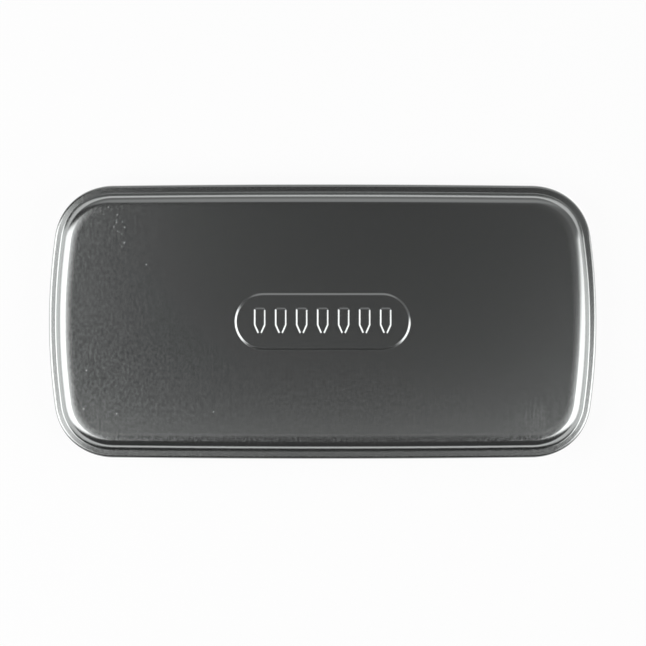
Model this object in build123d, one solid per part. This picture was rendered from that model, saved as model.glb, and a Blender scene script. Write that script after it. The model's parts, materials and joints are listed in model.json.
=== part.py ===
from build123d import *

# A flat pencil tin: a pressed tinplate base, a slip lid that lifts straight off, a thin formed tray,
# and twelve hexagonal coloured pencils, each a wooden casing glued round a pigment core. The lid's
# raised panel is embossed with a low oval, on which stands a row of small plain pencils.
# Millimetres. The origin is at the middle of the face the tin stands on: +X runs along the tin and
# towards the pencils' points, +Y runs across it, and +Z is up. The tin is drawn closed.
import os
from math import cos, radians, sqrt, tan

# ---- Pencils ------------------------------------------------------------------------------------
pencil_count = 12
pencil_length = 175.0
pencil_flats = 6.9  # across the flats of the hexagon
pencil_edge_radius = 0.6  # the barrel's six long edges
pencil_spacing_gap = 0.4  # between the sharp corners of neighbouring hexagons
point_angle = 21.0  # full angle of the sharpened cone
core_diameter = 3.8
core_tip_diameter = 0.7  # the point is worn a little blunt
glue_line = 0.02  # between the core and the wood

# ---- Tray ---------------------------------------------------------------------------------------
tray_sheet = 0.45
channel_depth = 2.0  # from the lands between the pencils down to the seats
channel_side_gap = 0.16  # beside the flat that a pencil lies on
channel_end_gap = 0.75  # beyond each end of a pencil
channel_slope = 60.0  # of the channels' sides, in degrees, to match the hexagons
land_radius = 0.65
tray_flange_width = 2.15  # from the last channel out to the tray's edge
tray_end_width = 16.8  # the raised rest beyond each end of the pencils
tray_end_rise = 2.9  # of those rests above the lands
tray_end_radius = 1.2  # along their outer edges
tray_brow_radius = 0.8  # along their inner edges, over the ends of the pencils
tray_wall_draft = 8.0  # of the walls across the tray, in degrees
tray_lip_drop = 1.4  # the turned-down edge, below the lands
tray_gap = 0.3  # between the tray's edge and the base's rolled rim, which it drops past
grip_length = 34.0  # where the lands are left out, so that a pencil can be pinched
grip_offset = 8.0  # from the middle of the tin towards the points

# ---- Tin ----------------------------------------------------------------------------------------
sheet = 0.3  # tinplate
corner_radius = 23.7  # plan view
end_bow_radius = 240.0  # the short sides swell outwards
side_bow_radius = 6400.0  # and the long sides only just
headroom = 6.8  # from the pencils to the inside of the lid

panel_rise = 3.85  # the lid's raised panel above its shoulder
panel_slope = 58.0  # of the wall between them, in degrees
panel_foot_radius = 0.8
panel_edge_radius = 4.0
crown_slope = 5.0  # of the panel's margin, which falls a little towards the wall, in degrees
crown_radius = 30.0  # from the margin into the flat of the panel
crown_margin = 0.1  # what stays straight between those two bends
shoulder_width = 3.0  # from the lid's edge to where the wall's slope would meet the shoulder
shoulder_fall = 0.15  # the shoulder falls outwards by this much
shoulder_radius = 1.1
skirt_depth = 8.0
hem_height = 2.4  # the skirt's edge is folded back inside itself
hem_slot = 0.1  # between the two layers of the fold
lid_slip = 0.25  # between the hem and the base
lid_rest = 0.2  # between the lid and the rim of the base, at its lowest

oval_length = 69.0  # the low oval pressed up from the panel, at its foot
oval_width = 22.5
oval_rise = 0.3
oval_slope = 17.0  # of its edge, in degrees
figure_count = 7  # small pencils standing on the oval, points towards the front
figure_pitch = 8.2
figure_width = 4.6  # at the foot
figure_length = 11.0
figure_point = 4.2
figure_rise = 0.35
figure_slope = 27.0  # of their edges, in degrees

floor_rise = 0.6  # the middle of the floor is pressed up, so that the tin stands on a band
floor_band = 9.0  # from the base's edge to that pressing
floor_step_width = 0.9
floor_step_radius = 0.8
base_edge_radius = 2.2
curl_radius = 0.6  # the base's rim is rolled inwards
curl_turn = 250.0  # degrees

# ---- Worked out from them -----------------------------------------------------------------------
pencil_side = pencil_flats / sqrt(3)
pencil_corners = 2 * pencil_side
pencil_pitch = pencil_corners + pencil_spacing_gap
last_pencil_y = (pencil_count - 1) / 2 * pencil_pitch

channel_foot_half = pencil_side / 2 + channel_side_gap
channel_top_half = channel_foot_half + channel_depth / tan(radians(channel_slope))
bay_half = pencil_length / 2 + channel_end_gap

hem_thickness = 2 * sheet + hem_slot
base_inset = hem_thickness + lid_slip  # from the lid's edge, which is the widest, to the base's
tray_inset = base_inset + 2 * curl_radius + tray_gap
half_length = bay_half + tray_end_width + tray_inset
half_width = last_pencil_y + channel_top_half + tray_flange_width + tray_inset

tray_bottom = floor_rise + sheet
seat_z = tray_bottom + tray_sheet
land_z = seat_z + channel_depth
tray_end_z = land_z + tray_end_rise
tray_lip_z = land_z - tray_lip_drop
pencil_z = seat_z + pencil_flats / 2
lid_top = seat_z + pencil_flats + headroom + sheet
shoulder_z = lid_top - panel_rise
skirt_bottom = shoulder_z - skirt_depth
rim_z = shoulder_z - shoulder_fall - sheet - lid_rest

edge_reach = panel_edge_radius * tan(radians(panel_slope - crown_slope) / 2)
crown_reach = crown_radius * tan(radians(crown_slope / 2))
crown_run = (edge_reach + crown_margin + crown_reach) * cos(radians(crown_slope))
panel_brow_z = lid_top - crown_run * tan(radians(crown_slope))
panel_inset = shoulder_width + (panel_brow_z - shoulder_z) / tan(radians(panel_slope))
panel_flat_inset = panel_inset + crown_run + crown_reach
floor_flat_inset = floor_band + floor_step_width + floor_step_radius

overlap = 1.0  # how far joined and cutting solids run past one another
same = 1e-4  # within which two places are taken as one


def outline(inset):
    """The tin's plan, moved in evenly: where four great discs overlap, with rounded corners."""
    end_disc = Circle(end_bow_radius - inset)
    side_disc = Circle(side_bow_radius - inset)
    end_x = end_bow_radius - half_length
    side_y = side_bow_radius - half_width
    lens = (Pos(-end_x, 0) * end_disc) & (Pos(end_x, 0) * end_disc)
    lens = lens & (Pos(0, -side_y) * side_disc) & (Pos(0, side_y) * side_disc)
    return fillet(lens.vertices(), corner_radius - inset)


def prism(inset, low, high):
    """A solid with the tin's plan."""
    return Pos(0, 0, low) * extrude(outline(inset), high - low)


def swept_round(section, inset):
    """Carries a section drawn as (distance in from the edge, height) once round the tin's plan."""
    path = outline(inset).faces()[0].outer_wire()
    start, tangent = path @ 0, path % 0
    left = Vector(-tangent.Y, tangent.X, 0)
    inward = left if left.dot(start) < 0 else -left
    onto = Plane(origin=start, x_dir=inward, z_dir=inward.cross(Vector(0, 0, 1)))
    return sweep(onto * section, path=path)


def sheet_section(line):
    """Gives a line of the outer face the tinplate's thickness, inwards: to the side that adds no size."""
    sections = [make_face(offset(line, amount=sheet, side=side)) for side in (Side.LEFT, Side.RIGHT)]
    return min(sections, key=lambda section: section.bounding_box().diagonal)


def figure(low):
    """One small pencil in relief: a barrel and a point towards the front, with sloping sides."""
    half, end = figure_width / 2, figure_length / 2
    shape = Polyline(
        (-half, end), (-half, figure_point - end), (0, -end), (half, figure_point - end), (half, end),
        close=True,
    )
    return Pos(0, 0, low) * extrude(make_face(shape), figure_rise, taper=90 - figure_slope)


def embossing(low):
    """The low oval and the row of figures on it, standing on a height."""
    oval = SlotOverall(oval_length, oval_width)
    raised = Pos(0, 0, low) * extrude(oval, oval_rise, taper=90 - oval_slope)
    for number in range(figure_count):
        raised += Pos((number - (figure_count - 1) / 2) * figure_pitch, 0) * figure(low + oval_rise)
    return raised


def lid_shell():
    """The pressed lid: folded hem, skirt, shoulder and raised panel, embossed right through."""
    fold = hem_thickness / 2
    hem_foot = skirt_bottom + fold
    inner_ply = Line((hem_thickness, hem_foot + hem_height), (hem_thickness, hem_foot))
    turn = CenterArc((fold, hem_foot), fold, 0, -180)
    outside = FilletPolyline(
        (0, hem_foot),
        (0, shoulder_z - shoulder_fall),
        (shoulder_width, shoulder_z),
        (panel_inset, panel_brow_z),
        (panel_inset + crown_run, lid_top),
        (panel_flat_inset + overlap, lid_top),
        radius=[shoulder_radius, panel_foot_radius, panel_edge_radius, crown_radius],
    )
    section = sheet_section(Curve() + [inner_ply, turn, outside])
    shell = swept_round(section, 0) + prism(panel_flat_inset, lid_top - sheet, lid_top)
    return shell + embossing(lid_top) - embossing(lid_top - sheet)


def base_shell():
    """The pressed base: raised floor, standing band, wall and rolled rim."""
    outside = FilletPolyline(
        (floor_flat_inset + overlap, floor_rise),
        (floor_band + floor_step_width, floor_rise),
        (floor_band, 0),
        (0, 0),
        (0, rim_z - curl_radius),
        radius=[floor_step_radius, floor_step_radius, base_edge_radius],
    )
    roll = CenterArc((curl_radius, rim_z - curl_radius), curl_radius, 180, -curl_turn)
    section = sheet_section(Curve() + [outside, roll])
    floor = prism(base_inset + floor_flat_inset, floor_rise, floor_rise + sheet)
    return swept_round(section, base_inset) + floor


def across(foot_half, centre, grow):
    """A region that is wider at the top, drawn across the tray, reaching up from the seats.

    Growing it moves every face out by that much, which is how the sheet gets its thickness.
    """
    slope = radians(channel_slope)
    foot = foot_half + grow * tan(slope / 2)
    high = tray_end_z + overlap - seat_z + grow
    region = Polyline(
        (centre - foot - high / tan(slope), high),
        (centre - foot, 0),
        (centre + foot, 0),
        (centre + foot + high / tan(slope), high),
        close=True,
    )
    return Pos(0, seat_z - grow) * make_face(region)


def along(foot_half, centre, grow):
    """The wedge that limits a hollow of the tray at both ends, with drafted walls and round brows."""
    draft = radians(tray_wall_draft)
    low, brow, high = seat_z - overlap, tray_end_z - grow, tray_end_z + overlap
    foot = foot_half + grow / cos(draft) - overlap * tan(draft)
    top = foot + (brow - low) * tan(draft)
    wide = top + 2 * tray_brow_radius
    region = Polyline(
        (centre - wide, high), (centre - wide, brow), (centre - top, brow), (centre - foot, low),
        (centre + foot, low), (centre + top, brow), (centre + wide, brow), (centre + wide, high),
        close=True,
    )
    face = make_face(region)
    brows = [v for v in face.vertices() if abs(abs(v.X - centre) - top) < same]
    return extrude(Plane.XZ * fillet(brows, tray_brow_radius - grow), half_width, both=True)


def channels(grow):
    """The twelve channels and all the room over them, drawn across the tray."""
    edge = last_pencil_y + pencil_pitch
    low, high = land_z - grow, tray_end_z + overlap
    room = Pos(0, (low + high) / 2) * Rectangle(2 * half_width, high - low)
    for number in range(pencil_count):
        room += across(channel_foot_half, number * pencil_pitch - last_pencil_y, grow)
    lands = [v for v in room.vertices() if abs(v.Y - low) < same and abs(v.X) < edge]
    return fillet(lands, land_radius - grow)


def tray_form(grow):
    """The tray as a solid block, or the hollow beneath its sheet when grown."""
    length = 2 * half_length
    bay = extrude(Plane.YZ * channels(grow), length, both=True) & along(bay_half, 0, grow)
    wide = across(last_pencil_y + channel_foot_half, 0, grow)
    grip = extrude(Plane.YZ * wide, length, both=True) & along(grip_length / 2, grip_offset, grow)
    block = prism(tray_inset + grow, tray_bottom - overlap, tray_end_z - grow)
    block = fillet(block.edges().group_by(Axis.Z)[-1], tray_end_radius - grow)
    return block - bay - grip


def insert_tray():
    """The thin formed tray: channels, raised ends, a grip across the middle, a turned-down lip."""
    below_lip = prism(tray_inset - overlap, tray_bottom - 2 * overlap, tray_lip_z)
    below_lip -= prism(tray_inset + overlap, tray_bottom - 2 * overlap, tray_lip_z)
    return tray_form(0) - tray_form(tray_sheet) - below_lip


def pencil_envelope():
    """The turned shape that a sharpener leaves: a cone at the point, and room for the barrel."""
    tip = core_tip_diameter / 2
    cone_length = (pencil_corners / 2 - tip) / tan(radians(point_angle / 2))
    point, shoulder = pencil_length / 2, pencil_length / 2 - cone_length
    profile = Polyline(
        (-point, 0), (-point, pencil_corners / 2), (shoulder, pencil_corners / 2), (point, tip),
        (point, 0), close=True,
    )
    return revolve(make_face(profile), Axis.X)


def pencil_barrel():
    """The hexagonal barrel lying on a flat, its long edges rounded."""
    hexagon = RegularPolygon(pencil_corners / 2, 6)
    hexagon = fillet(hexagon.vertices(), pencil_edge_radius)
    return extrude(Plane.YZ * hexagon, pencil_length / 2, both=True)


def pencil_casing():
    """The lacquered wood: the barrel, sharpened, with its bore."""
    bore = extrude(Plane.YZ * Circle(core_diameter / 2 + glue_line), pencil_length, both=True)
    return (pencil_barrel() & pencil_envelope()) - bore


def pencil_core():
    """The pigment core, sharpened in one cone with the wood."""
    rod = extrude(Plane.YZ * Circle(core_diameter / 2), pencil_length / 2, both=True)
    return rod & pencil_envelope()


def pieces():
    """Every piece by name, in its place in the closed tin."""
    built = {"lid": lid_shell(), "base": base_shell(), "insert_tray": insert_tray()}
    casing, core = pencil_casing(), pencil_core()
    for number in range(1, pencil_count + 1):
        place = Pos(0, last_pencil_y - (number - 1) * pencil_pitch, pencil_z)
        built[f"pencil_casing_{number:02d}"] = place * casing
        built[f"pencil_core_{number:02d}"] = place * core
    return built


os.makedirs("parts", exist_ok=True)
for name, piece in pieces().items():
    export_step(piece, f"parts/{name}.step")
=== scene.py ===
import json
from functools import partial
from math import atan2, cos, pi, radians, sin, tan

import bmesh
import bpy
import numpy as np
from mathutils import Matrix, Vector
from mathutils.geometry import delaunay_2d_cdt


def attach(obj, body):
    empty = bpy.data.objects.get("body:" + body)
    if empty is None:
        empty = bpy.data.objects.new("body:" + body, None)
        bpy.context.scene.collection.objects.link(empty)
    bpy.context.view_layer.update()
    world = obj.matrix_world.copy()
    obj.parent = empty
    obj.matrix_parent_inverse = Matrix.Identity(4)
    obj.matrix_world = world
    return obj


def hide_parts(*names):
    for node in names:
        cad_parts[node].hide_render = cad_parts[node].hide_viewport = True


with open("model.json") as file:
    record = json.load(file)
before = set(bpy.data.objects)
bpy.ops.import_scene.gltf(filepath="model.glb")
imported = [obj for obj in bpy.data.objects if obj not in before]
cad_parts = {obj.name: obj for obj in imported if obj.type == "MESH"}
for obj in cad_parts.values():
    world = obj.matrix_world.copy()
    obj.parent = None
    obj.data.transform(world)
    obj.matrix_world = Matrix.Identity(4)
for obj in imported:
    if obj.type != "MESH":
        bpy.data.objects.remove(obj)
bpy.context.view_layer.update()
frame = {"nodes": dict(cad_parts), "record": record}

MM = 0.001

# ---- The tin's sizes, in millimetres -------------------------------------------------------------
half_length = 107.5
half_width = 53.927
corner_radius = 23.7
end_bow_radius = 240.0
side_bow_radius = 6400.0
sheet = 0.3

lid_top = 15.35
shoulder_z = 11.5
skirt_bottom = 3.5
hem_height = 2.4
hem_thickness = 0.7
shoulder_radius = 1.1
panel_edge_radius = 4.0
crown_slope = radians(5)
crown_radius = 30.0
crown_margin = 0.1
panel_margin = 0.2

# Each of these is given along the sides, at the corners and round the ends.
shoulder_width = (3.15, 2.9, 2.9)
shoulder_fall = (0.02, 0.21, 0.2)
fullness = (0.0, 0.35, 0.0)  # how far the lid stands out from the plan
panel_slope = (58, 53, 58)  # in degrees
panel_foot_radius = (0.5, 0.6, 0.8)

base_inset = 0.95
rim_z = 10.85
curl_radius = 0.6
curl_turn = radians(250)
floor_rise = 0.6
floor_band = 9.0
floor_step_width = 0.9
floor_step_radius = 0.8
base_edge_radius = 2.2

oval_length = 67.0
oval_width = 20.5
oval_rise = 0.3
oval_slope_width = 1.0
figure_count = 7
figure_pitch = 8.2
figure_width = 3.2
figure_length = 9.6
figure_point = 3.6
figure_rise = 0.35
figure_slope_width = 0.7
figure_corner_radius = 0.35

pencil_count = 12
pencil_length = 175.0
pencil_flats = 6.9
pencil_edge_radius = 0.6
pencil_tail_radius = 0.4
pencil_gap = 0.4
pencil_z = 4.8
point_half_angle = radians(10.5)
core_radius = 1.9
bore_radius = 1.92
core_tip_radius = 0.35
worn_tip = ((0.16, 0.34), (0.06, 0.27), (0.0, 0.14), (0.0, 0.0))  # (distance from the end, radius)

# ---- How finely the meshes are cut ---------------------------------------------------------------
corner_cuts = 48
side_cuts = 30
arc_cuts = 10
oval_slope_cuts = 8
figure_arc_cuts = 6
figure_slope_cuts = 6
hexagon_arc_cuts = 5
hexagon_flat_cuts = 8
tail_cuts = 4
tail_shares = (0.0, 0.5, 1.0)  # from the bore to the tail's rounded edge
barrel_shares = (0.02, 0.25, 0.5, 0.75, 0.95, 1.0)  # along the barrel, from its tail
cone_cuts = 10
core_cuts = 40
core_tail_share = 0.6
core_tail_run = 0.3
core_cone_shares = (0.85, 0.7, 0.55, 0.4, 0.28)  # the radii along the core's cone

same_point = 1e-6  # in millimetres
weld_distance = 1e-6  # in metres
sliver_length = 1e-7  # in metres
casing_crease = radians(28)
core_crease = radians(40)
tray_crease = radians(35)


# ---- Mesh helpers --------------------------------------------------------------------------------
def face_outwards(mesh):
    """Turns every face of a closed mesh outwards."""
    form = bmesh.new()
    form.from_mesh(mesh)
    bmesh.ops.recalc_face_normals(form, faces=form.faces)
    form.to_mesh(mesh)
    form.free()


def new_piece(name, points, faces, normals=None, uv=None):
    """An object from points in millimetres, with exact normals where they are given."""
    mesh = bpy.data.meshes.new(name)
    mesh.from_pydata([tuple(p) for p in np.asarray(points) * MM], [], [tuple(f) for f in faces])
    face_outwards(mesh)
    mesh.shade_smooth()
    if uv is not None:
        layer = mesh.uv_layers.new(name="unfolded")
        loops = np.empty(len(mesh.loops), int)
        mesh.loops.foreach_get("vertex_index", loops)
        layer.data.foreach_set("uv", (np.asarray(uv)[loops] * MM).astype(np.float32).ravel())
    if normals is not None:
        mesh.normals_split_custom_set_from_vertices([tuple(n) for n in normals])
    piece = bpy.data.objects.new(name, mesh)
    bpy.context.scene.collection.objects.link(piece)
    return piece


def weld_and_smooth(piece, crease):
    """Joins equal points, faces everything outwards and shades it smooth up to an angle."""
    form = bmesh.new()
    form.from_mesh(piece.data)
    bmesh.ops.remove_doubles(form, verts=form.verts, dist=weld_distance)
    bmesh.ops.dissolve_degenerate(form, edges=form.edges, dist=sliver_length)
    bmesh.ops.recalc_face_normals(form, faces=form.faces)
    for edge in form.edges:
        edge.smooth = edge.is_manifold and edge.calc_face_angle(pi) < crease
    for face in form.faces:
        face.smooth = True
    form.to_mesh(piece.data)
    form.free()


def band_faces(first, second, count):
    """Quads between two rings of equal count, given by their first points' numbers."""
    step = np.arange(count)
    after = (step + 1) % count
    return np.stack([first + step, first + after, second + after, second + step], 1).tolist()


def rings_mesh(rings):
    """Quads between rings of points of equal count."""
    count = len(rings[0])
    faces = []
    for step in range(len(rings) - 1):
        faces.extend(band_faces(step * count, (step + 1) * count, count))
    return faces


def round_directions(angles):
    """The directions at some angles."""
    return np.stack([np.cos(angles), np.sin(angles)], 1)


def arc_points(centre, radius, start, end, cuts):
    """Points round an arc, with the directions from its centre."""
    out = round_directions(np.linspace(start, end, cuts + 1))
    return np.asarray(centre) + radius * out, out


def rounded_line(corners, radii, cuts=arc_cuts):
    """A line with rounded corners: its points and the normals on its left."""
    corners = [np.array(c, float) for c in corners]
    points, normals = [], []

    def add(point, normal):
        if not points or np.linalg.norm(point - points[-1]) > same_point:
            points.append(point)
            normals.append(normal)

    def heading(start, end):
        return (end - start) / np.linalg.norm(end - start)

    def left_of(direction):
        return np.array([-direction[1], direction[0]])

    add(corners[0], left_of(heading(corners[0], corners[1])))
    for before, corner, after, radius in zip(corners, corners[1:], corners[2:], radii):
        toward = heading(before, corner)
        away = heading(corner, after)
        turn = atan2(toward[0] * away[1] - toward[1] * away[0], toward @ away)
        reach = radius * tan(abs(turn) / 2)
        side = 1 if turn > 0 else -1
        centre = corner - toward * reach + side * radius * left_of(toward)
        for step in range(cuts + 1):
            angle = turn * step / cuts
            spun = np.array([toward[0] * cos(angle) - toward[1] * sin(angle),
                             toward[0] * sin(angle) + toward[1] * cos(angle)])
            add(centre - side * radius * left_of(spun), left_of(spun))
    add(corners[-1], left_of(heading(corners[-2], corners[-1])))
    return np.array(points), np.array(normals)


def inside(loop, point):
    """Whether a point lies inside a closed loop."""
    x, y = point[0], point[1]
    ahead = np.roll(loop, -1, axis=0)
    spans = (loop[:, 1] > y) != (ahead[:, 1] > y)
    rise = np.where(spans, ahead[:, 1] - loop[:, 1], 1.0)
    crossing = loop[:, 0] + (y - loop[:, 1]) / rise * (ahead[:, 0] - loop[:, 0])
    return bool(np.count_nonzero(spans & (x < crossing)) % 2)


# ---- The tin's plan ------------------------------------------------------------------------------
def tin_outline():
    """The tin's plan, as points and outward normals: bowed ends and sides joined by round corners."""
    end = np.array([half_length - end_bow_radius, 0.0])
    side = np.array([0.0, half_width - side_bow_radius])
    reach_end, reach_side = end_bow_radius - corner_radius, side_bow_radius - corner_radius
    apart = side - end
    span = np.linalg.norm(apart)
    along = (reach_end**2 - reach_side**2 + span**2) / (2 * span)
    across = (reach_end**2 - along**2) ** 0.5
    unit = apart / span
    corner = end + along * unit + across * np.array([-unit[1], unit[0]])
    from_end = atan2(corner[1] - end[1], corner[0] - end[0])
    from_side = atan2(corner[1] - side[1], corner[0] - side[0])
    arcs = [
        (end, end_bow_radius, 0.0, from_end, side_cuts // 2),
        (corner, corner_radius, from_end, from_side, corner_cuts),
        (side, side_bow_radius, from_side, pi / 2, side_cuts),
    ]
    points, normals = [], []
    for centre, radius, start, stop, cuts in arcs:
        arc, out = arc_points(centre, radius, start, stop, cuts)
        points.extend(arc[:-1])
        normals.extend(out[:-1])
    quarter, quarter_out = np.array(points), np.array(normals)
    top, up = np.array([[0.0, half_width]]), np.array([[0.0, 1.0]])
    flip_x, flip_y = np.array([-1.0, 1.0]), np.array([1.0, -1.0])
    half = np.concatenate([quarter, top, (quarter * flip_x)[:0:-1]])
    half_out = np.concatenate([quarter_out, up, (quarter_out * flip_x)[:0:-1]])
    left, left_out = np.array([[-half_length, 0.0]]), np.array([[-1.0, 0.0]])
    lower, lower_out = (half * flip_y)[:0:-1], (half_out * flip_y)[:0:-1]
    return np.concatenate([half, left, lower]), np.concatenate([half_out, left_out, lower_out])


plan, plan_out = tin_outline()

# How much each point of the plan takes of the section along the sides, at the corners, round the ends.
endness, sideness = plan_out.T ** 2
cornering = 4 * endness * sideness
shares = np.stack([sideness - cornering / 2, cornering, endness - cornering / 2], 1)


def ring_of(places):
    """One ring of a pressed shell, from (distance in, height, normal in, normal up) in each section."""
    inset, height, inward, upward = (shares @ np.array(places)).T
    points = np.column_stack([plan - inset[:, None] * plan_out, height])
    normals = np.column_stack([-inward[:, None] * plan_out, upward])
    return points, normals / np.linalg.norm(normals, axis=1)[:, None]


# ---- Pressed shells ------------------------------------------------------------------------------
class Shell:
    """Gathers rings and flat fills into one mesh."""

    def __init__(self):
        self.points, self.normals, self.uv, self.faces = [], [], [], []

    def add(self, points, normals, uv):
        """Takes in a ring and returns the number of its first point."""
        first = len(self.points)
        self.points.extend(points)
        self.normals.extend(normals)
        self.uv.extend(uv)
        return first

    def band(self, first, second, count):
        """Joins two rings of equal count."""
        self.faces.extend(band_faces(first, second, count))

    def fill(self, rings, keep=None):
        """Fills between an outer ring and any inner ones, each given as (first number, count).

        Only the triangles stay whose centres keep says yes to.
        """
        numbers = [n for first, count in rings for n in range(first, first + count)]
        flat = [Vector(self.points[n][:2]) for n in numbers]
        edges, start = [], 0
        for first, count in rings:
            edges.extend((start + k, start + (k + 1) % count) for k in range(count))
            start += count
        outer = list(range(rings[0][1]))
        only_inside = 1
        found, _, triangles, origins, _, _ = delaunay_2d_cdt(flat, edges, [outer], only_inside, same_point)
        for triangle in triangles:
            centre = sum((found[v] for v in triangle), Vector((0, 0))) / 3
            if keep is None or keep(centre):
                self.faces.append([numbers[origins[v][0]] for v in triangle])

    def piece(self, name):
        """The gathered mesh, as an object."""
        return new_piece(name, self.points, self.faces, self.normals, self.uv)


def lay_section(shell, sections, inset=0.0):
    """Sweeps both faces of the sheet round the plan, unfolded for the grain; returns the last rings.

    The sections along the sides, at the corners and round the ends blend into each other.
    """
    line = sections[0][0]
    lengths = np.concatenate([[0], np.cumsum(np.linalg.norm(np.diff(line, axis=0), axis=1))])
    from_end = lengths[-1] - lengths
    flat = plan - (inset + line[-1][0]) * plan_out
    moved = [np.concatenate(section, axis=1) + [inset, 0, 0, 0] for section in sections]
    outer, inner = [], []
    for *places, away in zip(*moved, from_end):
        unfolded = flat + away * plan_out
        outer.append(shell.add(*ring_of(places), unfolded))
        deep = [(x - sheet * nx, z - sheet * nz, -nx, -nz) for x, z, nx, nz in places]
        inner.append(shell.add(*ring_of(deep), unfolded))
    for rings in (outer, inner):
        for first, second in zip(rings, rings[1:]):
            shell.band(first, second, len(plan))
    shell.band(inner[0], outer[0], len(plan))
    return outer[-1], inner[-1]


# ---- The lid's embossing -------------------------------------------------------------------------
def ease(share):
    """A smooth step from 0 to 1, and its slope."""
    return share * share * (3 - 2 * share), 6 * share * (1 - share)


def oval_ring(offset):
    """The oval, moved outwards: points and outward normals."""
    radius = oval_width / 2
    reach = oval_length / 2 - radius
    right = arc_points((reach, 0), radius + offset, -pi / 2, pi / 2, corner_cuts)
    left = arc_points((-reach, 0), radius + offset, pi / 2, 3 * pi / 2, corner_cuts)
    return np.concatenate([right[0], left[0]]), np.concatenate([right[1], left[1]])


def figure_ring(centre, offset):
    """The outline of one small pencil, point to the front, moved outwards: points, outward normals."""
    half, top = figure_width / 2, figure_length / 2
    corners = [(0.0, top), (-half, top), (-half, figure_point - top), (0.0, -top),
               (half, figure_point - top), (half, top), (0.0, top)]
    points, right = rounded_line(corners, [figure_corner_radius] * 5, figure_arc_cuts)
    points, out = points[:-1], -right[:-1]
    return points + offset * out + np.array([centre, 0.0]), out


def raised_edge(shell, ring, low, rise, width, cuts, down):
    """Rings that climb from one level to another inside an outline; returns the two end rings."""
    rings = []
    for step in range(cuts + 1):
        share, slope = ease(step / cuts)
        points, out = ring(width * (1 - step / cuts))
        normals = np.column_stack([out * slope * rise / width, np.ones(len(out))])
        normals /= np.linalg.norm(normals, axis=1)[:, None]
        raised = np.column_stack([points, np.full(len(points), low + rise * share)])
        rings.append(shell.add(raised, -normals if down else normals, points))
    count = len(points)
    for first, second in zip(rings, rings[1:]):
        shell.band(first, second, count)
    return (rings[0], count), (rings[-1], count)


def embossed_panel(shell, edge, height, down=False):
    """Fills the panel from its edge ring inwards: flat, then the oval, then its row of figures."""
    oval_foot, oval_top = raised_edge(
        shell, oval_ring, height, oval_rise, oval_slope_width, oval_slope_cuts, down)
    foot_loop = oval_ring(oval_slope_width)[0]
    shell.fill([(edge, len(plan)), oval_foot], lambda c: not inside(foot_loop, c))
    figures, loops = [], []
    for number in range(figure_count):
        ring = partial(figure_ring, (number - (figure_count - 1) / 2) * figure_pitch)
        foot, top = raised_edge(
            shell, ring, height + oval_rise, figure_rise, figure_slope_width, figure_slope_cuts, down)
        shell.fill([top])
        figures.append(foot)
        loops.append(ring(figure_slope_width)[0])
    shell.fill([oval_top, *figures], lambda c: not any(inside(loop, c) for loop in loops))


# ---- The lid, the base and the tray --------------------------------------------------------------
def lid_section(width, fall, full, slope, foot_radius):
    """The lid's outer face from the folded hem to the flat of the panel: points and normals."""
    slope = radians(slope)
    edge_reach = panel_edge_radius * tan((slope - crown_slope) / 2)
    crown_reach = crown_radius * tan(crown_slope / 2)
    crown_run = (edge_reach + crown_margin + crown_reach) * cos(crown_slope)
    brow_z = lid_top - crown_run * tan(crown_slope)
    brow = width + (brow_z - shoulder_z) / tan(slope)
    hem_radius = hem_thickness / 2
    points, normals = rounded_line(
        [(hem_thickness, skirt_bottom + hem_height), (hem_thickness, skirt_bottom), (0, skirt_bottom),
         (0, shoulder_z - fall), (width, shoulder_z), (brow, brow_z), (brow + crown_run, lid_top),
         (brow + crown_run + crown_reach + panel_margin, lid_top)],
        [hem_radius, hem_radius, shoulder_radius, foot_radius, panel_edge_radius, crown_radius],
    )
    return points - [full, 0], normals


def make_lid():
    """The lid: hem, skirt, shoulder, raised panel and its embossing."""
    shell = Shell()
    places = zip(shoulder_width, shoulder_fall, fullness, panel_slope, panel_foot_radius)
    top, under = lay_section(shell, [lid_section(*place) for place in places])
    embossed_panel(shell, top, lid_top)
    embossed_panel(shell, under, lid_top - sheet, down=True)
    return shell.piece("lid_pressed")


def make_base():
    """The base: rolled rim, wall, standing band and raised floor."""
    step_foot = floor_band + floor_step_width
    wall, out = rounded_line(
        [(step_foot + floor_step_radius, floor_rise), (step_foot, floor_rise), (floor_band, 0), (0, 0),
         (0, rim_z - curl_radius)],
        [floor_step_radius, floor_step_radius, base_edge_radius],
    )
    roll, roll_out = arc_points(
        (curl_radius, rim_z - curl_radius), curl_radius, pi, pi - curl_turn, 2 * arc_cuts)
    line = np.concatenate([wall[:-1], roll])[::-1]
    normals = np.concatenate([out[:-1], roll_out])[::-1]
    shell = Shell()
    for ring in lay_section(shell, [(line, normals)] * 3, base_inset):
        shell.fill([(ring, len(plan))])
    return shell.piece("base_pressed")


def make_tray():
    """The formed tray, from the part's own solid, with its bends shaded round."""
    tray = bpy.data.objects.new("tray_formed", frame["nodes"]["insert_tray"].data.copy())
    tray.data.materials.clear()
    bpy.context.scene.collection.objects.link(tray)
    weld_and_smooth(tray, tray_crease)
    return tray


# ---- The pencils ---------------------------------------------------------------------------------
pencil_pitch = pencil_flats * 2 / 3**0.5 + pencil_gap
pencil_tail = -pencil_length / 2
pencil_point = pencil_length / 2


def hexagon():
    """The barrel's section in (y, z), with rounded corners: points and outward normals."""
    reach = (pencil_flats / 2 - pencil_edge_radius) / cos(pi / 6)
    centres = reach * round_directions(np.arange(7) * pi / 3)
    points, normals = [], []
    for corner in range(6):
        middle = corner * pi / 3
        arc, out = arc_points(
            centres[corner], pencil_edge_radius, middle - pi / 6, middle + pi / 6, hexagon_arc_cuts)
        points.extend(arc)
        normals.extend(out)
        next_arc = centres[corner + 1] + pencil_edge_radius * out[-1]
        for step in range(1, hexagon_flat_cuts):
            points.append(arc[-1] + (next_arc - arc[-1]) * step / hexagon_flat_cuts)
            normals.append(out[-1])
    return np.array(points), np.array(normals)


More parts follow.
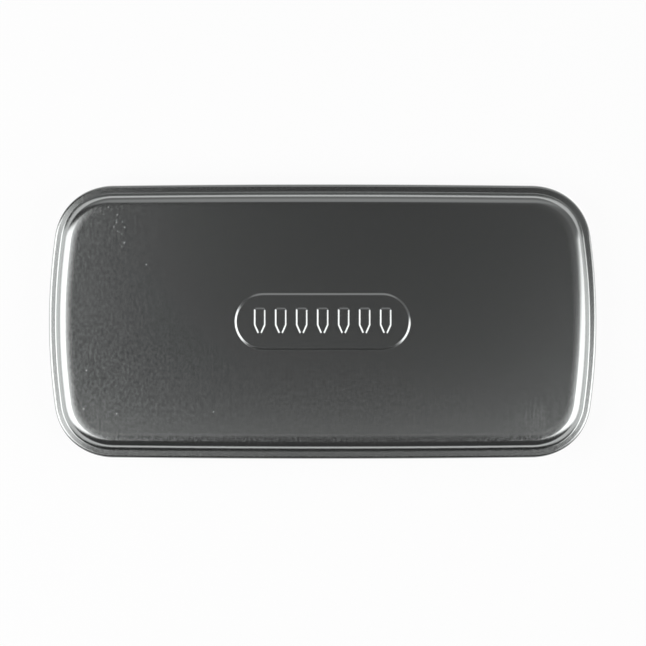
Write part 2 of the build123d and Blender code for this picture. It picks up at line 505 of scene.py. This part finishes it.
def cone_place(radius):
    """How far along the pencil its cone has a given radius."""
    return pencil_point - (radius - core_tip_radius) / tan(point_half_angle)


def make_casing(name, across):
    """The lacquered barrel, the cut cone with its scalloped edge, the tail and the bore."""
    section, out = hexagon()
    radii = np.hypot(section[:, 0], section[:, 1])
    circle = section / radii[:, None]
    bore = circle * bore_radius
    inner = section - pencil_tail_radius * out
    barrel_start = pencil_tail + pencil_tail_radius
    barrel_end = cone_place(radii)
    rings, wooden = [], []

    def add(x, flat, is_wood):
        x = np.full(len(flat), x) if np.isscalar(x) else x
        rings.append(np.column_stack([x, flat[:, 0] + across, flat[:, 1] + pencil_z]))
        wooden.append(is_wood)

    add(cone_place(bore_radius), bore, True)
    add(pencil_tail, bore, True)
    for share in tail_shares:
        add(pencil_tail, bore + (inner - bore) * share, True)
    for step in range(1, tail_cuts + 1):
        angle = step / tail_cuts * pi / 2
        x = pencil_tail + pencil_tail_radius * (1 - cos(angle))
        add(x, inner + pencil_tail_radius * sin(angle) * out, False)
    for share in barrel_shares:
        add(barrel_start + (barrel_end - barrel_start) * share, section, False)
    for step in range(cone_cuts + 1):
        radius = radii + (bore_radius - radii) * step / cone_cuts
        add(cone_place(radius), circle * radius[:, None], True)
    piece = new_piece(name, np.concatenate(rings), rings_mesh(rings))
    wooden_faces = np.repeat(np.array(wooden[1:], int), len(section))
    piece.data.polygons.foreach_set("material_index", wooden_faces)
    weld_and_smooth(piece, casing_crease)
    return piece


def make_core(name, across):
    """The pigment core, from the tail to its worn tip."""
    circle = round_directions(np.linspace(0, 2 * pi, core_cuts + 1)[:-1])
    profile = [(pencil_tail, 0.0), (pencil_tail, core_radius * core_tail_share), (pencil_tail, core_radius)]
    profile += [(pencil_tail + core_tail_run, core_radius), (cone_place(core_radius), core_radius)]
    profile += [(cone_place(core_radius * share), core_radius * share) for share in core_cone_shares]
    profile += [(pencil_point - back, radius) for back, radius in worn_tip]
    rings = []
    for x, radius in profile:
        rings.append(np.column_stack([np.full(core_cuts, x), circle * radius + [across, pencil_z]]))
    piece = new_piece(name, np.concatenate(rings), rings_mesh(rings))
    weld_and_smooth(piece, core_crease)
    return piece


# ---- Node trees ----------------------------------------------------------------------------------
class Graph:
    """A node tree built by short calls."""

    def __init__(self, owner):
        owner.use_nodes = True
        self.tree = owner.node_tree
        self.tree.nodes.clear()

    def node(self, kind, inputs=None, **settings):
        """A node, with links and values for its inputs."""
        made = self.tree.nodes.new(kind)
        for key, value in settings.items():
            setattr(made, key, value)
        for key, value in (inputs or {}).items():
            self.put(made.inputs[key], value)
        return made

    def put(self, socket, value):
        """Links another node's output to a socket, or sets the socket's value."""
        if isinstance(value, bpy.types.NodeSocket):
            self.tree.links.new(value, socket)
        else:
            socket.default_value = value

    def math(self, operation, first, second=0.0):
        """One sum on numbers."""
        return self.node("ShaderNodeMath", {0: first, 1: second}, operation=operation).outputs[0]

    def add(self, first, *others):
        """Adds numbers up."""
        for other in others:
            first = self.math("ADD", first, other)
        return first

    def times(self, first, *others):
        """Multiplies numbers together."""
        for other in others:
            first = self.math("MULTIPLY", first, other)
        return first

    def vectors(self, operation, first, second):
        """One sum on vectors or colours: its outputs."""
        return self.node("ShaderNodeVectorMath", {0: first, 1: second}, operation=operation).outputs

    def choose(self, share, first, second):
        """The first value where the share is 0, and the second where it is 1."""
        return self.node("ShaderNodeMix", {0: share, 2: first, 3: second}).outputs[0]

    def smooth(self, value, low, high, start=0.0, stop=1.0):
        """Goes smoothly from start to stop as the value goes from low to high."""
        made = self.node(
            "ShaderNodeMapRange",
            {"Value": value, "From Min": low, "From Max": high, "To Min": start, "To Max": stop},
            interpolation_type="SMOOTHSTEP",
        )
        return made.outputs["Result"]

    def noise(self, place, scale, detail, **settings):
        """Noise from 0 to 1, as fine along each axis as its scale says."""
        placed = self.node("ShaderNodeMapping", {"Vector": place, "Scale": scale})
        inputs = {"Vector": placed.outputs[0], "Scale": 1.0, "Detail": detail}
        return self.node("ShaderNodeTexNoise", inputs, **settings).outputs["Fac"]

    def ramp(self, value, low, high, first, second):
        """Goes from the first colour to the second as the value goes from low to high."""
        made = self.node("ShaderNodeValToRGB", {"Fac": value})
        for element, position, colour in zip(made.color_ramp.elements, (low, high), (first, second)):
            element.position = position
            element.color = colour
        return made.outputs[0]

    def bump(self, height, strength, distance):
        """The surface's normal over a relief, whose full height is given in millimetres."""
        inputs = {"Height": height, "Strength": strength, "Distance": distance * MM}
        return self.node("ShaderNodeBump", inputs).outputs[0]

    def surface(self, shader):
        """Ends a material's tree with its shader."""
        self.node("ShaderNodeOutputMaterial", {"Surface": shader.outputs[0]})


def new_material(name):
    """A material with an empty tree, and the place on the piece to start from."""
    material = bpy.data.materials.new(name)
    graph = Graph(material)
    return material, graph, graph.node("ShaderNodeTexCoord").outputs["Object"]


# ---- Tinplate: places are in millimetres on the unfolded sheet, scales in waves per metre ----------
tin_colour = (0.43, 0.443, 0.438, 1.0)
tin_roughness = 0.2
tin_anisotropy = 0.55
grain_scale = (1100.0, 700.0, 1.0)
grain_roughness = 0.033
grain_height = 0.006
streak_scale = (1500.0, 70.0, 1.0)
streak_roughness = 0.007

# The grain is strongest at the front left of the lid. These say where it calms down, and how far.
calm_left, calm_right = -90.0, -10.0
calm_front, calm_back = -48.0, 5.0
least_calm_left, least_calm_front = 0.3, 0.1
calm_grain = 0.2

# The specks are the cells of a warped pattern that a chance picks: few towards the left end of the lid,
# and many in the scuffs at its back left corner, each given as (x, y, how far it reaches).
speck_scale = 950.0
speck_warp_scale = 1800.0
speck_warp = 1.1
speck_edge = (0.1, 0.45)
speck_roughness = 0.06
few_from, few_to, few_chance = -20.0, -100.0, 0.008
scuffs = [(-88.2, 39.1, 3.2), (-79.8, 40.0, 3.0), (-79.2, 35.5, 4.0), (-78.6, 31.0, 3.0),
          (-73.2, 42.2, 2.6), (-86.5, 43.5, 4.0)]
scuff_middle, scuff_chance = 0.5, 0.45

# A rub mark at the front right corner, where the streaks show more.
rub_place = (82.5, -38.5)
rub_middle, rub_reach = 2.0, 10.0
rub_streaks = (0.5, 0.62)
rub_roughness = 0.038


def wear(graph, uv, streaks):
    """What the specks and the rub mark add to the lid's roughness."""
    def near(x, y, close, far):
        """1 round a point of the sheet, falling to 0."""
        away = graph.vectors("DISTANCE", uv, (x * MM, y * MM, 0.0))["Value"]
        return graph.smooth(away, close * MM, far * MM, 1.0, 0.0)

    warp = graph.node("ShaderNodeTexNoise", {"Vector": uv, "Scale": speck_warp_scale, "Detail": 1.0},
                      noise_dimensions="2D").outputs["Color"]
    warp = graph.vectors("MULTIPLY", warp, (speck_warp * MM, speck_warp * MM, 0.0))[0]
    warped = graph.vectors("ADD", uv, warp)[0]
    cells = graph.node("ShaderNodeTexVoronoi", {"Vector": warped, "Scale": speck_scale},
                       voronoi_dimensions="2D").outputs
    pick = graph.node("ShaderNodeSeparateXYZ", {0: cells["Color"]}).outputs[0]
    along = graph.node("ShaderNodeSeparateXYZ", {0: uv}).outputs[0]
    chance = graph.smooth(along, few_from * MM, few_to * MM, 0.0, few_chance)
    for x, y, reach in scuffs:
        chance = graph.add(chance, graph.times(near(x, y, scuff_middle, reach), scuff_chance))
    kept = graph.math("LESS_THAN", pick, chance)
    specks = graph.times(graph.smooth(cells["Distance"], *speck_edge, 1.0, 0.0), kept, speck_roughness)
    rubs = graph.times(graph.smooth(streaks, *rub_streaks), near(*rub_place, rub_middle, rub_reach),
                       rub_roughness)
    return graph.add(specks, rubs)


def tinplate(name, worn=False):
    """Satin tinplate, rolled along +Y: a fine grain in how rough it is, and a few scuffs where worn."""
    material = bpy.data.materials.new(name)
    graph = Graph(material)
    uv = graph.node("ShaderNodeUVMap", uv_map="unfolded").outputs["UV"]
    grain = graph.noise(uv, grain_scale, 2.0, noise_dimensions="2D")
    streaks = graph.noise(uv, streak_scale, 2.0, noise_dimensions="2D")
    x, y = graph.node("ShaderNodeSeparateXYZ", {0: uv}).outputs[:2]
    calm = graph.times(graph.smooth(x, calm_right * MM, calm_left * MM, 1.0, least_calm_left),
                       graph.smooth(y, calm_back * MM, calm_front * MM, 1.0, least_calm_front))
    uneven = graph.add(graph.smooth(grain, 0.2, 0.8, -grain_roughness, grain_roughness),
                       graph.smooth(streaks, 0.3, 0.7, -streak_roughness, streak_roughness))
    rough = graph.add(graph.times(uneven, graph.smooth(calm, 0.0, 1.0, 1.0, calm_grain)), tin_roughness)
    if worn:
        rough = graph.add(rough, wear(graph, uv, streaks))
    graph.surface(graph.node("ShaderNodeBsdfPrincipled", {
        "Base Color": tin_colour,
        "Metallic": 1.0,
        "Roughness": rough,
        "Anisotropic": tin_anisotropy,
        "Normal": graph.bump(grain, 1.0, grain_height),
        "Tangent": graph.node("ShaderNodeTangent", direction_type="UV_MAP", uv_map="unfolded").outputs[0],
    }))
    return material


# ---- The other materials -------------------------------------------------------------------------
def lacquer(name, colour):
    """Gloss lacquer over a colour, slightly uneven along the pencil."""
    material, graph, place = new_material(name)
    peel = graph.noise(place, (90.0, 500.0, 500.0), 2.0)
    graph.surface(graph.node("ShaderNodeBsdfPrincipled", {
        "Base Color": graph.vectors("MULTIPLY", tuple(colour), graph.smooth(peel, 0.3, 0.7, 0.93, 1.05))[0],
        "Roughness": 0.32,
        "Coat Weight": 1.0,
        "Coat Roughness": 0.08,
        "Normal": graph.bump(peel, 0.25, 0.04),
    }))
    return material


def bare_wood():
    """Cedar-like wood: long grain along the pencil, and the fine rings that a sharpener leaves."""
    material, graph, place = new_material("bare_wood")
    grain = graph.noise(place, (120.0, 1900.0, 1900.0), 4.0)
    rings = graph.noise(place, (2400.0, 160.0, 160.0), 1.0)
    graph.surface(graph.node("ShaderNodeBsdfPrincipled", {
        "Base Color": graph.ramp(grain, 0.3, 0.7, (0.48, 0.25, 0.12, 1.0), (0.74, 0.5, 0.29, 1.0)),
        "Roughness": 0.62,
        "Normal": graph.bump(graph.add(graph.times(grain, 0.6), rings), 0.6, 0.06),
    }))
    return material


def pigment(name, colour):
    """The waxy core: the pencil's colour, finely grained."""
    material, graph, place = new_material(name)
    grain = graph.noise(place, (3200.0, 3200.0, 3200.0), 3.0)
    graph.surface(graph.node("ShaderNodeBsdfPrincipled", {
        "Base Color": graph.vectors("MULTIPLY", tuple(colour), graph.smooth(grain, 0.3, 0.7, 0.8, 1.08))[0],
        "Roughness": 0.48,
        "Normal": graph.bump(grain, 0.4, 0.05),
    }))
    return material


def formed_plastic():
    """The tray's thin pale sheet, very slightly uneven."""
    material, graph, place = new_material("formed_plastic")
    cloud = graph.noise(place, (60.0, 60.0, 60.0), 3.0)
    fine = graph.noise(place, (900.0, 900.0, 900.0), 2.0)
    graph.surface(graph.node("ShaderNodeBsdfPrincipled", {
        "Base Color": graph.ramp(cloud, 0.3, 0.7, (0.77, 0.76, 0.73, 1.0), (0.82, 0.81, 0.78, 1.0)),
        "Roughness": 0.38,
        "Normal": graph.bump(fine, 0.25, 0.06),
    }))
    return material


# ---- The pieces, dressed -------------------------------------------------------------------------
lid = make_lid()
base = make_base()
tray = make_tray()

lid.data.materials.append(tinplate("tinplate_lid", worn=True))
base.data.materials.append(tinplate("tinplate_base"))
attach(lid, "lid")
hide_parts("lid")
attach(base, "base")
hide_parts("base")

tray.data.materials.append(formed_plastic())
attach(tray, "base")
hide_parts("insert_tray")

wood = bare_wood()
finishes = {entry["slot"]: entry["base_color"] for entry in frame["record"]["materials"]}
colours = [name.removeprefix("lacquer_") for name in finishes if name.startswith("lacquer_")]
for number, colour in enumerate(colours, 1):
    across = ((pencil_count + 1) / 2 - number) * pencil_pitch
    casing = make_casing(f"pencil_{number:02d}_casing", across)
    casing.data.materials.append(lacquer(f"lacquer_{colour}", finishes[f"lacquer_{colour}"]))
    casing.data.materials.append(wood)
    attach(casing, "base")
    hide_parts(f"pencil_casing_{number:02d}")
    core = make_core(f"pencil_{number:02d}_core", across)
    core.data.materials.append(pigment(f"core_{colour}", finishes[f"core_{colour}"]))
    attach(core, "base")
    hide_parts(f"pencil_core_{number:02d}")

# ---- The studio's light --------------------------------------------------------------------------
# A direction's fall is its angle from straight overhead and its lean the tangent of that. Its turn is
# the angle from straight along the tin, to either end, towards the back. A pair is where something
# starts and where it is complete.
overhead_level = 0.06
low_lean, low_level = (2.0, 8.0), 0.12
least_height = 0.02

# Each end light lies between a front and a back edge, whose turn is a start plus a share of the fall.
end_level = 2.8
end_softness = radians(7)
end_front = (radians(-57), 0.3)
end_back_left = (radians(33), -0.17)
end_back_right = (radians(-8), 0.25)
end_lean_left = (0.38, 0.56)
end_lean_right = (0.45, 0.49)
end_late_turn, end_late = (radians(-5), radians(-40)), 0.06

back_turn, back_turn_share = (radians(73), radians(87)), 0.45
back_lean = (0.34, 0.5)
back_fade, back_levels = (1.1, 2.2), (0.42, 0.24)

# A dim strip across the front, by how far forward it leans, and a dim patch at the back right.
strip_back, strip_front, strip_level = (-0.1, -0.12), (-0.2, -0.14), 0.27
patch_turn, patch_end_turn = (radians(-5), radians(20)), (radians(50), radians(75))
patch_lean, patch_level = (0.22, 0.7), 0.18


def end_lights(graph, lean, fall, turn, on_left):
    """The large soft light at each end of the tin."""
    def edge(start, share):
        return graph.add(graph.times(fall, share), start)

    past_front = graph.math("SUBTRACT", turn, edge(*end_front))
    back = graph.choose(on_left, edge(*end_back_right), edge(*end_back_left))
    past_back = graph.math("SUBTRACT", turn, back)
    late = graph.smooth(turn, *end_late_turn, 0.0, end_late)
    right = graph.smooth(graph.math("SUBTRACT", lean, late), *end_lean_right)
    left = graph.smooth(lean, *end_lean_left)
    return graph.times(
        graph.smooth(past_front, -end_softness, end_softness),
        graph.smooth(past_back, -end_softness, end_softness, 1.0, 0.0),
        graph.choose(on_left, right, left),
        end_level,
    )


def studio_light(graph, place):
    """The studio's brightness in a direction: bright at both ends, dimmer behind, dark overhead."""
    x, y, z = graph.node("ShaderNodeSeparateXYZ", {0: place}).outputs
    z = graph.math("MAXIMUM", z, least_height)
    flat = graph.math("SQRT", graph.add(graph.times(x, x), graph.times(y, y)))
    lean = graph.math("DIVIDE", flat, z)
    fall = graph.math("ARCTAN2", flat, z)
    turn = graph.math("ARCTAN2", y, graph.math("ABSOLUTE", x))
    rearward = graph.math("DIVIDE", y, z)
    on_left = graph.math("LESS_THAN", x, 0.0)
    behind = graph.times(
        graph.smooth(graph.add(turn, graph.times(fall, back_turn_share)), *back_turn),
        graph.smooth(lean, *back_lean),
        graph.smooth(lean, *back_fade, *back_levels),
    )
    strip = graph.times(
        graph.smooth(rearward, *strip_back), graph.smooth(rearward, *strip_front), strip_level)
    patch = graph.times(
        graph.smooth(turn, *patch_turn),
        graph.smooth(turn, *patch_end_turn, patch_level, 0.0),
        graph.smooth(lean, *patch_lean),
    )
    return graph.add(
        end_lights(graph, lean, fall, turn, on_left),
        behind,
        strip,
        graph.choose(on_left, patch, 0.0),
        graph.smooth(lean, *low_lean, 0.0, low_level),
        overhead_level,
    )


# ---- The studio ----------------------------------------------------------------------------------
floor_half_size = 4.0  # in metres, as the ceiling's sizes are
floor_drop = 0.02  # in millimetres, to keep it off the tin's standing band
floor_paint = 0.9
floor_white = 0.93  # how much of the floor that is seen is plain white, and not lit paint
ceiling_half_size = 1.5
ceiling_height = 0.62
far_light = 0.8  # the world's light over the ceiling's

photo_pixels = 646
tin_pixels = 548  # the tin's length in the photograph
lens, sensor = 135.0, 36.0
camera_x, camera_y = 0.12, -0.55


def square(name, half_size, z, material, faces_down=False):
    """A level square of the studio; its sizes are in metres."""
    corners = [(-half_size, -half_size, z), (half_size, -half_size, z),
               (half_size, half_size, z), (-half_size, half_size, z)]
    mesh = bpy.data.meshes.new(name)
    mesh.from_pydata(corners, [], [(0, 3, 2, 1) if faces_down else (0, 1, 2, 3)])
    mesh.materials.append(material)
    made = bpy.data.objects.new(name, mesh)
    bpy.context.scene.collection.objects.link(made)
    return made


def make_floor():
    """A floor that is white to the eye and in reflections, and clear from below, to show the underside."""
    material = bpy.data.materials.new("floor_white")
    graph = Graph(material)
    path = graph.node("ShaderNodeLightPath").outputs
    seen = graph.math("MAXIMUM", path["Is Camera Ray"], path["Is Glossy Ray"])
    seen = graph.math("MAXIMUM", seen, path["Is Transmission Ray"])
    paint = graph.node("ShaderNodeBsdfDiffuse", {"Color": (floor_paint, floor_paint, floor_paint, 1.0)})
    white = graph.node("ShaderNodeEmission", {"Strength": 1.0})
    mixed = graph.node("ShaderNodeMixShader", {
        0: graph.times(seen, floor_white),
        1: paint.outputs[0],
        2: white.outputs[0],
    })
    below = graph.node("ShaderNodeNewGeometry").outputs["Backfacing"]
    graph.surface(graph.node("ShaderNodeMixShader", {
        0: graph.times(below, path["Is Camera Ray"]),
        1: mixed.outputs[0],
        2: graph.node("ShaderNodeBsdfTransparent").outputs[0],
    }))
    floor = square("floor", floor_half_size, -floor_drop * MM, material)


def make_ceiling():
    """A near ceiling that carries the overhead part of the light, and that the camera looks through."""
    material, graph, place = new_material("ceiling_light")
    glow = graph.node("ShaderNodeEmission", {"Strength": studio_light(graph, place)})
    graph.surface(graph.node("ShaderNodeMixShader", {
        0: graph.node("ShaderNodeLightPath").outputs["Is Camera Ray"],
        1: glow.outputs[0],
        2: graph.node("ShaderNodeBsdfTransparent").outputs[0],
    }))
    ceiling = square("ceiling", ceiling_half_size, ceiling_height, material, faces_down=True)


def make_world():
    """The same light further off, down to the floor, behind a background that is white to the eye."""
    world = bpy.data.worlds.new("studio")
    bpy.context.scene.world = world
    graph = Graph(world)
    light = studio_light(graph, graph.node("ShaderNodeTexCoord").outputs["Generated"])
    backdrop = graph.node("ShaderNodeBackground", {
        "Color": (1.0, 1.0, 1.0, 1.0),
        "Strength": graph.choose(
            graph.node("ShaderNodeLightPath").outputs["Is Camera Ray"], graph.times(light, far_light), 1.0),
    })
    graph.node("ShaderNodeOutputWorld", {"Surface": backdrop.outputs[0]})


def make_camera():
    """Looks straight down, as the photograph does."""
    camera = bpy.data.cameras.new("camera")
    camera.lens, camera.sensor_width = lens, sensor
    seat = bpy.data.objects.new("camera", camera)
    frame_width = photo_pixels * 2 * half_length / tin_pixels
    distance = frame_width * lens / sensor
    seat.location = (camera_x * MM, camera_y * MM, (shoulder_z + distance) * MM)
    bpy.context.scene.collection.objects.link(seat)
    bpy.context.scene.camera = seat


make_floor()
make_ceiling()
make_world()
make_camera()
bpy.context.scene.view_settings.view_transform = "Standard"
